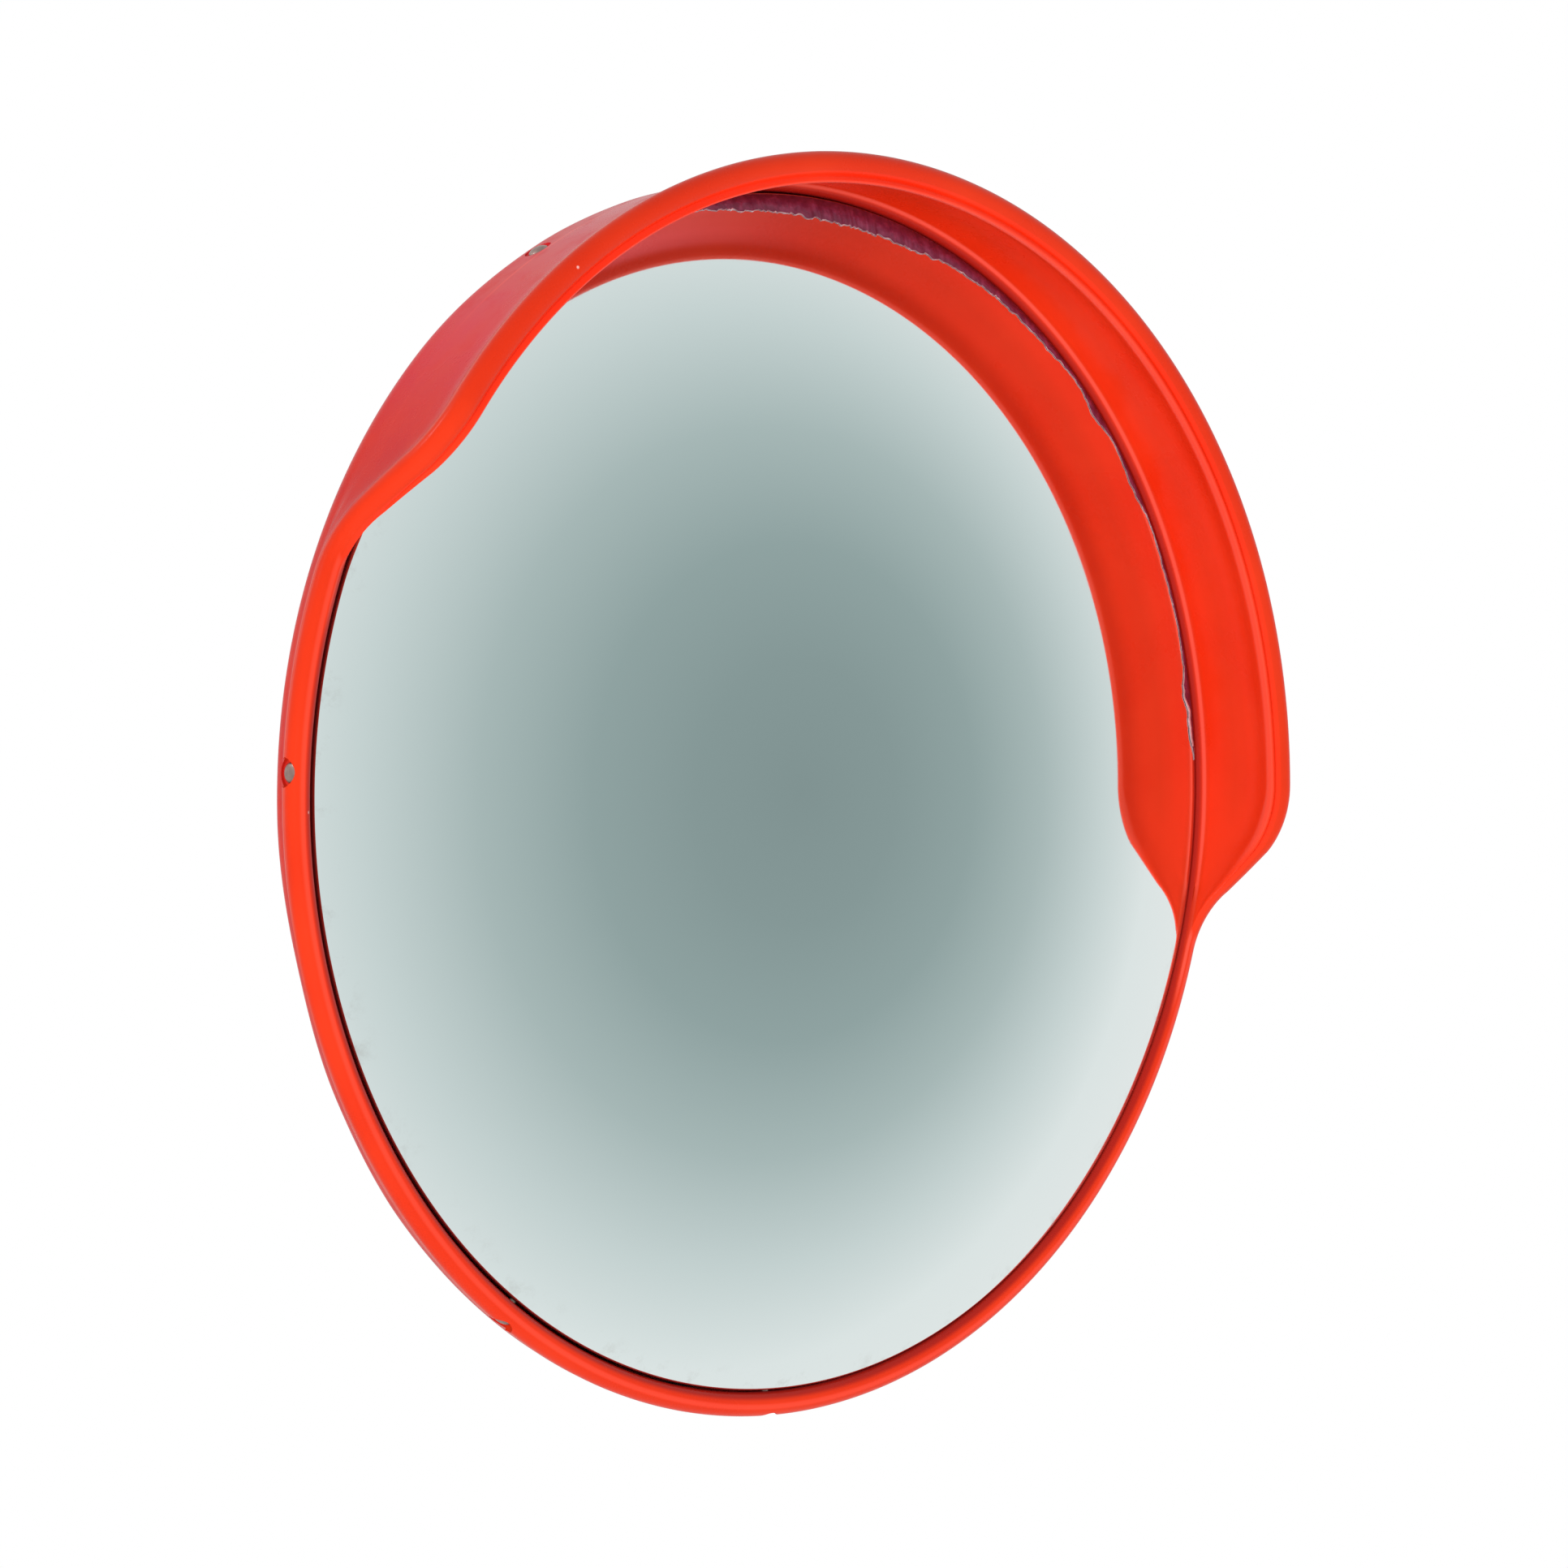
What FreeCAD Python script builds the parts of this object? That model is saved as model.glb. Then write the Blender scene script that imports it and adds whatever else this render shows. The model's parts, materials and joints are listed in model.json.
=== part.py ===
import FreeCAD, Part
import math
import os
import re
import Sketcher

# Hooded traffic mirror on a two-way pole bracket.
# The origin is the centre of the pole clamp, +Z runs up the pole and the mirror looks along -Y.
# Head pieces are drawn in the head's own frame: the lens edge lies in its XY plane,
# its Z looks out of the mirror and its Y points to the crown of the hood.

doc = FreeCAD.newDocument("traffic_mirror")
sheet = doc.addObject("Spreadsheet::Sheet", "sizes")

driving = (
    ("lens_radius", 300.0, "edge circle of the mirror face"),
    ("lens_rise", 60.0, "height of the dome over its edge circle"),
    ("lens_skin", 2.5, "thickness of the lens"),
    ("skirt_depth", 12.0, "turned-back edge of the lens"),
    ("seat_gap", 0.8, "air between lens edge and rim"),
    ("seat_relief", 0.9, "seat wall behind the inner edge of the bead"),
    ("bead_radius", 6.3, "round bead of rim and lip"),
    ("crest_cut", 1.0, "flat on the crest of the open part of the rim"),
    ("bead_drop", 4.0, "rim bead centre behind the lens edge"),
    ("side_step", 4.4, "side wall outside the rim bead centre"),
    ("side_depth", 16.0, "depth of the side wall"),
    ("shoulder_depth", 25.0, "depth where the shoulder meets the back cone"),
    ("shoulder_inset", 8.5, "how far the shoulder runs in"),
    ("shell_depth", 52.0, "flat centre of the back behind the lens edge"),
    ("hub_radius", 125.0, "flat centre of the back"),
    ("shell_skin", 4.0, "wall of the moulded shell"),
    ("ledge_width", 15.0, "ledge that the lens gasket lies on"),
    ("hood_reach", 50.0, "lip bead centre in front of the lens edge"),
    ("hood_flare", 4.3, "lip bead centre outside the rim bead centre"),
    ("lip_start", 9.5, "height where the rim starts to sweep forward"),
    ("lip_round", 45.0, "radius of both bends of the sweep"),
    ("lip_slope", 48.0, "steepest angle of the sweep, degrees"),
    ("gasket_thick", 3.0, "foam ring behind the lens skirt"),
    ("gasket_width", 10.0, "radial width of the foam ring"),
    ("screw_upper", 41.0, "upper rim screws above the horizontal, degrees"),
    ("screw_side", -16.0, "side rim screws, degrees"),
    ("screw_lower", -73.0, "lower rim screws, degrees"),
    ("screw_drop", 7.0, "rim screws behind the lens edge"),
    ("screw_radius", 2.4, "rim screw shank"),
    ("screw_head", 5.2, "rim screw head radius"),
    ("screw_head_tall", 2.6, "rim screw head height"),
    ("screw_long", 22.0, "rim screw under its head"),
    ("recess_radius", 7.0, "round recess for a screw head"),
    ("recess_deep", 2.0, "depth of that recess"),
    ("block_tall", 8.0, "anchor block along the mirror axis"),
    ("block_wide", 24.0, "anchor block along the skirt"),
    ("block_deep", 11.0, "anchor block towards the centre"),
    ("drain_radius", 4.0, "drain holes at the foot of the shell"),
    ("drain_spread", 14.0, "drain holes either side of the lowest point, degrees"),
    ("backing_radius", 95.0, "steel disc inside the shell"),
    ("backing_thick", 2.0, "steel disc inside the shell"),
    ("pad_thick", 3.0, "rubber pad between shell and bracket"),
    ("bracket_wide", 120.0, "bracket base plate across"),
    ("bracket_tall", 110.0, "bracket base plate up"),
    ("bracket_plate", 4.0, "bracket base plate"),
    ("cheek_plate", 5.0, "bracket cheeks"),
    ("cheek_radius", 20.0, "rounded end of a cheek"),
    ("cheek_root", 76.0, "height of a cheek at the base plate"),
    ("bolt_across", 84.0, "mounting bolts, side to side"),
    ("bolt_up", 76.0, "mounting bolts, up and down"),
    ("lens_reach", 92.0, "lens edge in front of the tilt pivot"),
    ("rest_tilt", 18.9, "face-down tilt at rest, degrees"),
    ("small_radius", 4.0, "M8 shank"),
    ("small_corner", 7.5, "M8 hexagon corner radius"),
    ("small_head", 5.3, "M8 head height"),
    ("small_nut", 6.8, "M8 nut height"),
    ("small_washer", 8.0, "M8 washer radius"),
    ("small_washer_thick", 1.6, "M8 washer"),
    ("small_spring", 2.0, "M8 spring washer"),
    ("small_slack", 0.4, "clearance of M8 shanks in their holes"),
    ("large_radius", 6.0, "M12 shank"),
    ("large_corner", 10.97, "M12 hexagon corner radius"),
    ("large_head", 7.5, "M12 head height"),
    ("large_nut", 10.8, "M12 nut height"),
    ("large_washer", 12.0, "M12 washer radius"),
    ("large_washer_thick", 2.5, "M12 washer"),
    ("large_spring", 2.6, "M12 spring washer"),
    ("thread_end", 4.0, "shank that stands out of its nut"),
    ("pin_clearance", 0.08, "radial running clearance of the pivots"),
    ("face_clearance", 0.1, "running clearance between pivot faces"),
    ("boss_radius", 17.0, "both bosses of the knuckle"),
    ("tilt_boss_wide", 43.0, "horizontal boss"),
    ("pan_boss_tall", 50.0, "vertical boss"),
    ("friction_thick", 1.5, "nylon friction washers"),
    ("friction_radius", 16.0, "nylon friction washers"),
    ("web_wide", 22.0, "web between the bosses"),
    ("web_tall", 30.0, "web between the bosses"),
    ("knuckle_reach", 34.0, "tilt pivot in front of the pan pivot"),
    ("pan_reach", 70.0, "pan pivot in front of the pole axis"),
    ("lug_plate", 6.0, "lugs of the saddle"),
    ("lug_radius", 18.0, "rounded end of a lug"),
    ("pole_radius", 38.15, "post of 76.3 mm"),
    ("liner_thick", 2.0, "rubber liner"),
    ("liner_edge", 12.0, "half gap between the two liners"),
    ("clamp_plate", 4.5, "saddle and strap"),
    ("clamp_tall", 90.0, "saddle and strap along the post"),
    ("flange_reach", 78.0, "clamp flanges from the post axis"),
    ("flange_plate", 5.0, "clamp flanges"),
    ("flange_gap", 4.0, "half gap between the flanges"),
    ("clamp_bolt_out", 62.0, "clamp bolts from the post axis"),
    ("clamp_bolt_up", 28.0, "clamp bolts above and below the middle"),
)
for row, (word, size, note) in enumerate(driving, 1):
    sheet.set("A%d" % row, word)
    sheet.set("B%d" % row, repr(size))
    sheet.setAlias("B%d" % row, word)
    sheet.set("C%d" % row, note)
doc.recompute()

# Sizes that follow from the driving ones, as formulas on the sheet's words.
rim_centre = "(lens_radius + seat_gap + bead_radius)"
side_radius = "(lens_radius + seat_gap + bead_radius + side_step)"
lip_centre = "(lens_radius + seat_gap + bead_radius + hood_flare)"
ledge_face = "(skirt_depth + gasket_thick)"
dome_radius = "((lens_radius ^ 2 + lens_rise ^ 2) / (2 * lens_rise))"
cheek_face = "(tilt_boss_wide / 2 + friction_thick + face_clearance)"
cheek_back = "(tilt_boss_wide / 2 + friction_thick + face_clearance + cheek_plate)"
lug_face = "(pan_boss_tall / 2 + friction_thick + face_clearance)"
lug_back = "(pan_boss_tall / 2 + friction_thick + face_clearance + lug_plate)"
liner_radius = "(pole_radius + liner_thick)"
clamp_radius = "(pole_radius + liner_thick + clamp_plate)"
base_back = "(shell_depth + pad_thick + bracket_plate)"
tilt_pivot = "(pan_reach + knuckle_reach)"

laid = {
    "z": "rotation(vector(0; 0; 1); 0)",
    "-z": "rotation(vector(1; 0; 0); 180)",
    "x": "rotation(vector(0; 1; 0); 90)",
    "-x": "rotation(vector(0; 1; 0); -90)",
    "y": "rotation(vector(1; 0; 0); -90)",
    "-y": "rotation(vector(1; 0; 0); 90)",
}
nodes = []


def linked(formula):
    # Turns a formula on the sheet's words into one that any object can hold.
    return re.sub(r"\b([a-z]\w*)\b(?!\()", r"sizes.\1", formula)


def number(formula):
    return float(sheet.evalExpression(formula))


def bind(thing, **formulas):
    for name, formula in formulas.items():
        thing.setExpression(name, linked(formula))
    return thing


def place(thing, at=("0", "0", "0"), along="z", spin="0"):
    # Lays the thing's own Z along an axis, moves it, and turns it about the frame's Z.
    turned = "placement(vector(0; 0; 0); rotation(vector(0; 0; 1); %s))" % spin
    moved = "placement(vector(%s; %s; %s); %s)" % (at[0], at[1], at[2], laid[along])
    thing.setExpression("Placement", linked(turned + " * " + moved))
    return thing


def rod(name, radius, length, **where):
    return place(bind(doc.addObject("Part::Cylinder", name), Radius=radius, Height=length), **where)


def block(name, size, corner):
    made = bind(doc.addObject("Part::Box", name), Length=size[0], Width=size[1], Height=size[2])
    return place(made, at=corner)


def fuse(name, *things):
    joined = doc.addObject("Part::MultiFuse", name)
    joined.Shapes = list(things)
    return joined


def cut(name, base, *tools):
    left = doc.addObject("Part::Cut", name)
    left.Base = base
    left.Tool = tools[0] if len(tools) == 1 else fuse(name + "_tools", *tools)
    return left


def common(name, first, second):
    kept = doc.addObject("Part::MultiCommon", name)
    kept.Shapes = [first, second]
    return kept


def group(name, things):
    together = doc.addObject("Part::Compound", name)
    together.Links = list(things)
    return together


def ring(name, outer, inner, thick, **where):
    disc = rod(name + "_disc", outer, thick)
    hole = rod(name + "_hole", inner, thick)
    return place(cut(name, disc, hole), **where)


def split_ring(name, outer, inner, thick, **where):
    # A spring washer: a ring with a narrow slot.
    disc = rod(name + "_disc", outer, thick)
    hole = rod(name + "_hole", inner, thick)
    slot = block(name + "_slot", (outer, "1.2", thick), ("0", "-0.6", "0"))
    return place(cut(name, disc, hole, slot), **where)


def hexagon(name, corner, tall, at):
    prism = bind(doc.addObject("Part::Prism", name), Circumradius=corner, Height=tall)
    prism.Polygon = 6
    return place(prism, at=at)


def hex_bolt(name, kind, length, **where):
    # The head's underside is at the bolt's origin, and the shank runs along its Z.
    head = hexagon(name + "_head", kind + "_corner", kind + "_head", ("0", "0", "-" + kind + "_head"))
    dome = bind(doc.addObject("Part::Cone", name + "_dome"), Radius1=kind + "_corner * 0.88",
                Radius2=kind + "_corner * 1.02", Height=kind + "_head")
    place(dome, at=("0", "0", "-" + kind + "_head"))
    shank = rod(name + "_shank", kind + "_radius", length)
    return place(fuse(name, common(name + "_cap", head, dome), shank), **where)


def hex_nut(name, kind, **where):
    prism = hexagon(name + "_prism", kind + "_corner", kind + "_nut", ("0", "0", "0"))
    hole = rod(name + "_thread", kind + "_radius", kind + "_nut")
    return place(cut(name, prism, hole), **where)


def as_node(thing, label):
    thing.Label = label
    nodes.append(thing)
    return thing


def on_head(thing):
    # Seats a head piece: the lens edge plane stands in front of the tilted pivot.
    spot = "vector(0; -%s - lens_reach * cos(rest_tilt); -lens_reach * sin(rest_tilt))" % tilt_pivot
    turn = "rotation(vector(1; 0; 0); 90 + rest_tilt)"
    thing.setExpression("Placement", linked("placement(%s; %s)" % (spot, turn)))
    return thing


def on_swivel(thing):
    return place(thing, at=("0", "-" + tilt_pivot, "0"))


def body(name):
    return doc.addObject("PartDesign::Body", name)


def drawing(owner, name, role):
    paper = owner.newObject("Sketcher::SketchObject", name)
    face = [one for one in owner.Origin.OriginFeatures if one.Role == role][0]
    paper.AttachmentSupport = [(face, "")]
    paper.MapMode = "FlatFace"
    return paper


def outline(paper, corners):
    # A closed polygon whose corners are held by formulas on the sheet.
    spots = [FreeCAD.Vector(number(across), number(up), 0) for across, up in corners]
    count = len(spots)
    for i in range(count):
        paper.addGeometry(Part.LineSegment(spots[i], spots[(i + 1) % count]), False)
    for i in range(count):
        paper.addConstraint(Sketcher.Constraint("Coincident", i, 2, (i + 1) % count, 1))
    for i in range(count):
        for kind, formula, value in (("X", corners[i][0], spots[i].x), ("Y", corners[i][1], spots[i].y)):
            held = paper.addConstraint(Sketcher.Constraint("Distance" + kind, -1, 1, i, 1, value))
            paper.renameConstraint(held, "corner%d%s" % (i, kind))
            paper.setExpression("Constraints.corner%d%s" % (i, kind), linked(formula))


# The moulded shell.

def lip_path(steps):
    # Height and depth along the sweep from rim to hood: bend, straight, bend.
    slope = math.radians(number("lip_slope"))
    bend = number("lip_round")
    foot = number("bead_radius - bead_drop - crest_cut")
    rise = number("hood_reach") - foot
    straight = (rise - 2 * bend * (1 - math.cos(slope))) / math.sin(slope)
    low = number("lip_start")
    far = low + 2 * bend * math.sin(slope) + straight * math.cos(slope)
    spots = []
    for i in range(steps + 1):
        angle = slope * i / steps
        spots.append((low + bend * math.sin(angle), foot + bend * (1 - math.cos(angle))))
    for i in range(steps, -1, -1):
        angle = slope * i / steps
        spots.append((far - bend * math.sin(angle), foot + rise - bend * (1 - math.cos(angle))))
    return spots


def revolved(owner, name, paper):
    made = owner.newObject("PartDesign::Revolution", name)
    made.Profile = paper
    made.ReferenceAxis = (paper, ["V_Axis"])
    made.Angle = 360
    doc.recompute()
    return made


def bead(owner, name, radius, depth):
    # A round bead all the way round, at this radius and depth.
    paper = drawing(owner, name + "_section", "XZ_Plane")
    centre = FreeCAD.Vector(number(radius), number(depth), 0)
    paper.addGeometry(Part.Circle(centre, FreeCAD.Vector(0, 0, 1), number("bead_radius")), False)
    holds = (("X", radius, centre.x), ("Y", depth, centre.y))
    for kind, formula, value in holds:
        held = paper.addConstraint(Sketcher.Constraint("Distance" + kind, -1, 1, 0, 3, value))
        paper.renameConstraint(held, "centre" + kind)
        paper.setExpression("Constraints.centre" + kind, linked(formula))
    held = paper.addConstraint(Sketcher.Constraint("Radius", 0, number("bead_radius")))
    paper.renameConstraint(held, "round")
    paper.setExpression("Constraints.round", linked("bead_radius"))
    return revolved(owner, name, paper)


def shell():
    made = body("shell_walls")
    side = drawing(made, "shell_section", "XZ_Plane")
    outline(side, (
        ("0", "-shell_depth"),
        ("hub_radius", "-shell_depth"),
        (side_radius + " - shoulder_inset", "-shoulder_depth"),
        (side_radius, "-side_depth"),
        (side_radius, "0"),
        (lip_centre + " + shell_skin / 2", "hood_reach"),
        (lip_centre + " - shell_skin / 2", "hood_reach"),
        (rim_centre, "2"),
        ("lens_radius + seat_gap + seat_relief", "-1"),
        ("lens_radius + seat_gap + seat_relief", "-" + ledge_face),
        ("lens_radius + seat_gap - ledge_width", "-" + ledge_face),
        ("lens_radius + seat_gap - ledge_width", "-%s - shell_skin" % ledge_face),
        ("lens_radius - shell_skin", "-%s - shell_skin - 2" % ledge_face),
        ("hub_radius - shell_skin", "shell_skin - shell_depth"),
        ("0", "shell_skin - shell_depth"),
    ))
    revolved(made, "shell_turned", side)
    bead(made, "rim_bead", rim_centre, "-bead_drop")
    whole = bead(made, "lip_bead", lip_centre, "hood_reach").Shape.Volume
    profile = drawing(made, "lip_profile", "YZ_Plane")
    sweep = lip_path(4)
    far = "(2 * lens_radius)"
    edge = [("-" + far, "bead_radius - bead_drop - crest_cut")]
    edge += [("%.6f" % height, "%.6f" % depth) for height, depth in sweep]
    edge += [("%.6f" % sweep[-1][0], far), ("-" + far, far)]
    outline(profile, edge)
    front = made.newObject("PartDesign::Pocket", "front_cut_away")
    front.Profile = profile
    front.Type = "ThroughAll"
    front.Midplane = True
    doc.recompute()
    assert front.Shape.Volume < 0.95 * whole
    tools = []
    for name, angle in screw_places():
        tools.append(rod("recess_" + name, "recess_radius", "recess_radius * 2", along="x", spin=angle,
                         at=(side_radius + " - recess_deep", "0", "-screw_drop")))
        tools.append(rod("hole_" + name, "screw_radius + 0.1", "bead_radius * 3", along="x", spin=angle,
                         at=("lens_radius - 1", "0", "-screw_drop")))
    for i, (across, up) in enumerate(bolt_places()):
        tools.append(rod("bolt_hole_%d" % i, "small_radius + small_slack", "shell_skin * 3",
                         at=(across, up, "-shell_depth - shell_skin")))
    for i, angle in enumerate(("-90 - drain_spread", "-90 + drain_spread")):
        tools.append(rod("drain_%d" % i, "drain_radius", "shell_skin * 6", spin=angle,
                         at=("lens_radius - ledge_width * 2", "0", "-shell_depth")))
    on_head(as_node(cut("shell_drilled", made, *tools), "hooded_shell"))


def screw_places():
    places = []
    for name in ("upper", "side", "lower"):
        places.append((name + "_right", "screw_" + name))
        places.append((name + "_left", "(180 - screw_%s)" % name))
    return places


def bolt_places():
    return [("%s * bolt_across / 2" % across, "%s * bolt_up / 2" % up)
            for across in ("1", "-1") for up in ("1", "-1")]


# The mirror face and what holds it.

def lens():
    outer = bind(doc.addObject("Part::Sphere", "dome_outer"), Radius=dome_radius)
    inner = bind(doc.addObject("Part::Sphere", "dome_inner"), Radius=dome_radius + " - lens_skin")
    for ball in (outer, inner):
        place(ball, at=("0", "0", "lens_rise - " + dome_radius))
    slab = rod("dome_slab", "lens_radius", "lens_rise * 2", at=("0", "0", "-lens_skin"))
    dome = common("dome", cut("dome_skin", outer, inner), slab)
    skirt = ring("skirt", "lens_radius", "lens_radius - lens_skin", "skirt_depth",
                 at=("0", "0", "-skirt_depth"))
    holes = []
    for name, angle in screw_places():
        holes.append(rod("skirt_hole_" + name, "screw_radius + 0.1", "lens_skin * 4", along="x", spin=angle,
                         at=("lens_radius - lens_skin * 2", "0", "-screw_drop")))
    on_head(as_node(cut("lens_drilled", fuse("lens_form", dome, skirt), *holes), "mirror_lens"))
    seal = ring("seal_ring", "lens_radius + 0.4", "lens_radius - gasket_width", "gasket_thick",
                at=("0", "0", "-" + ledge_face))
    on_head(as_node(group("seal", [seal]), "lens_gasket"))


def rim_screws():
    screws = []
    anchors = []
    seat = side_radius + " - recess_deep"
    for name, angle in screw_places():
        shank = rod("shank_" + name, "screw_radius", "screw_long", at=("0", "0", "-screw_long"))
        head = bind(doc.addObject("Part::Cone", "head_" + name), Radius1="screw_head",
                    Radius2="screw_head * 0.62", Height="screw_head_tall")
        slots = [
            block("slot_across_" + name, ("5", "1.1", "2"), ("-2.5", "-0.55", "screw_head_tall - 1.4")),
            block("slot_down_" + name, ("1.1", "5", "2"), ("-0.55", "-2.5", "screw_head_tall - 1.4")),
        ]
        screw = cut("screw_" + name, fuse("screw_form_" + name, shank, head), *slots)
        screws.append(place(screw, at=(seat, "0", "-screw_drop"), along="x", spin=angle))
        anchor = block("anchor_form_" + name, ("block_deep", "block_wide", "block_tall"),
                       ("-block_deep", "-block_wide / 2", "-block_tall / 2"))
        round_off = rod("anchor_round_" + name, "lens_radius - lens_skin - 0.2", "block_tall",
                        at=("-lens_radius + lens_skin", "0", "-block_tall / 2"))
        thread = rod("anchor_thread_" + name, "screw_radius", "block_deep * 2", along="x",
                     at=("-block_deep * 1.5", "0", "0"))
        anchor = cut("anchor_" + name, common("anchor_curved_" + name, anchor, round_off), thread)
        anchors.append(place(anchor, at=("lens_radius - lens_skin", "0", "-screw_drop"), spin=angle))
    on_head(as_node(group("screws", screws), "rim_screws"))
    on_head(as_node(group("anchors", anchors), "screw_anchors"))


# The bracket on the back of the head.

def backing():
    disc = rod("backing_disc", "backing_radius", "backing_thick", at=("0", "0", "shell_skin - shell_depth"))
    holes = [rod("backing_hole_%d" % i, "small_radius + small_slack", "backing_thick * 3",
                 at=(across, up, "shell_skin - shell_depth - backing_thick"))
             for i, (across, up) in enumerate(bolt_places())]
    on_head(as_node(cut("backing", disc, *holes), "backing_plate"))


def plate(name, thick, back):
    made = block(name + "_form", ("bracket_wide", "bracket_tall", thick),
                 ("-bracket_wide / 2", "-bracket_tall / 2", back))
    holes = [rod(name + "_hole_%d" % i, "small_radius + small_slack", thick + " * 3",
                 at=(across, up, "%s - %s" % (back, thick)))
             for i, (across, up) in enumerate(bolt_places())]
    return cut(name, made, *holes)


def bracket():
    on_head(as_node(plate("pad", "pad_thick", "-shell_depth - pad_thick"), "bracket_pad"))
    pieces = [plate("bracket_base", "bracket_plate", "-" + base_back)]
    for name, inside in (("right", cheek_face), ("left", "-" + cheek_back)):
        cheek = body("cheek_" + name)
        face = drawing(cheek, "cheek_face_" + name, "YZ_Plane")
        outline(face, (
            ("-cheek_root / 2", "bracket_plate / 2 - " + base_back),
            ("-cheek_radius", "-lens_reach"),
            ("cheek_radius", "-lens_reach"),
            ("cheek_root / 2", "bracket_plate / 2 - " + base_back),
        ))
        pad = cheek.newObject("PartDesign::Pad", "cheek_pad_" + name)
        pad.Profile = face
        bind(pad, Length="cheek_plate")
        place(cheek, at=(inside, "0", "0"))
        end = rod("cheek_end_" + name, "cheek_radius", "cheek_plate", along="x",
                  at=(inside, "0", "-lens_reach"))
        pieces += [cheek, end]
    bore = rod("cheek_bore", "large_radius + pin_clearance", "bracket_wide", along="x",
               at=("-bracket_wide / 2", "0", "-lens_reach"))
    on_head(as_node(cut("bracket_bored", fuse("bracket_form", *pieces), bore), "tilt_bracket"))


def mount_bolts():
    bolts, heads, washers, springs, nuts = [], [], [], [], []
    grip = "(shell_skin + backing_thick + pad_thick + bracket_plate)"
    stack = "(small_washer_thick + small_spring + small_nut + thread_end)"
    inner = "(shell_skin + backing_thick - shell_depth)"
    for i, (across, up) in enumerate(bolt_places()):
        bolts.append(hex_bolt("mount_bolt_%d" % i, "small", "%s + %s" % (grip, stack), along="-z",
                              at=(across, up, inner)))
        washers.append(ring("mount_washer_%d" % i, "small_washer", "small_radius", "small_washer_thick",
                            along="-z", at=(across, up, "-" + base_back)))
        springs.append(split_ring("mount_spring_%d" % i, "small_washer - 1.2", "small_radius",
                                  "small_spring", along="-z",
                                  at=(across, up, "-%s - small_washer_thick" % base_back)))
        nuts.append(hex_nut("mount_nut_%d" % i, "small", along="-z",
                            at=(across, up, "-%s - small_washer_thick - small_spring" % base_back)))
    on_head(as_node(group("mount_bolt_set", bolts), "mount_bolts"))
    on_head(as_node(group("mount_washer_set", washers), "mount_washers"))
    on_head(as_node(group("mount_spring_set", springs), "mount_spring_washers"))
    on_head(as_node(group("mount_nut_set", nuts), "mount_nuts"))


# The knuckle and its tilt pivot, drawn from the tilt pivot.

def knuckle():
    tilt = rod("tilt_boss", "boss_radius", "tilt_boss_wide", along="x", at=("-tilt_boss_wide / 2", "0", "0"))
    pan = rod("pan_boss", "boss_radius", "pan_boss_tall", at=("0", "knuckle_reach", "-pan_boss_tall / 2"))
    web = block("knuckle_web", ("web_wide", "knuckle_reach", "web_tall"), ("-web_wide / 2", "0", "-web_tall / 2"))
    tilt_bore = rod("tilt_bore", "large_radius + pin_clearance", "tilt_boss_wide * 2", along="x",
                    at=("-tilt_boss_wide", "0", "0"))
    pan_bore = rod("pan_bore", "large_radius + pin_clearance", "pan_boss_tall * 2",
                   at=("0", "knuckle_reach", "-pan_boss_tall"))
    made = cut("knuckle_bored", fuse("knuckle_form", tilt, pan, web), tilt_bore, pan_bore)
    on_swivel(as_node(made, "swivel_knuckle"))


def tilt_pivot_hardware():
    friction = [
        ring("tilt_friction_right", "friction_radius", "large_radius + pin_clearance", "friction_thick",
             along="x", at=("tilt_boss_wide / 2", "0", "0")),
        ring("tilt_friction_left", "friction_radius", "large_radius + pin_clearance", "friction_thick",
             along="-x", at=("-tilt_boss_wide / 2", "0", "0")),
    ]
    on_swivel(as_node(group("tilt_friction", friction), "tilt_friction_washers"))
    outside = "(%s + face_clearance)" % cheek_back
    washers = [
        ring("tilt_washer_right", "large_washer", "large_radius", "large_washer_thick", along="x",
             at=(outside, "0", "0")),
        ring("tilt_washer_left", "large_washer", "large_radius", "large_washer_thick", along="-x",
             at=("-" + outside, "0", "0")),
    ]
    on_swivel(as_node(group("tilt_washer_set", washers), "tilt_washers"))
    past = "(%s + large_washer_thick)" % outside
    spring = split_ring("tilt_spring", "large_washer - 1.5", "large_radius", "large_spring", along="x",
                        at=(past, "0", "0"))
    on_swivel(as_node(group("tilt_spring_set", [spring]), "tilt_spring_washer"))
    nut = hex_nut("tilt_nut_form", "large", along="x", at=(past + " + large_spring", "0", "0"))
    on_swivel(as_node(group("tilt_nut_set", [nut]), "tilt_nut"))
    bolt = hex_bolt("tilt_bolt_form", "large", "2 * %s + large_spring + large_nut + thread_end" % past,
                    along="x", at=("-" + past, "0", "0"))
    on_swivel(as_node(group("tilt_bolt_set", [bolt]), "tilt_bolt"))


# The pole clamp and the pan pivot.

def half_shell(name, side, inner, outer, tall, edge):
    # Half of a tube round the post. Side is -1 for the mirror's side and 1 for the far side.
    tube = ring(name + "_tube", outer, inner, tall, at=("0", "0", "-%s / 2" % tall))
    reach = "(%s * 2)" % outer
    corner = edge if side == 1 else "-%s - %s" % (edge, reach)
    keep = block(name + "_half", (reach, reach, tall), ("-%s / 2" % reach, corner, "-%s / 2" % tall))
    return common(name, tube, keep)


def clamp_half(name, side):
    pieces = [half_shell(name + "_bow", side, liner_radius, clamp_radius, "clamp_tall", "flange_gap")]
    near = "flange_gap" if side == 1 else "-flange_gap - flange_plate"
    for hand, start in (("right", liner_radius + " + 0.3"), ("left", "-flange_reach")):
        pieces.append(block("%s_flange_%s" % (name, hand),
                            ("flange_reach - %s - 0.3" % liner_radius, "flange_plate", "clamp_tall"),
                            (start, near, "-clamp_tall / 2")))
    return pieces


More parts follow.
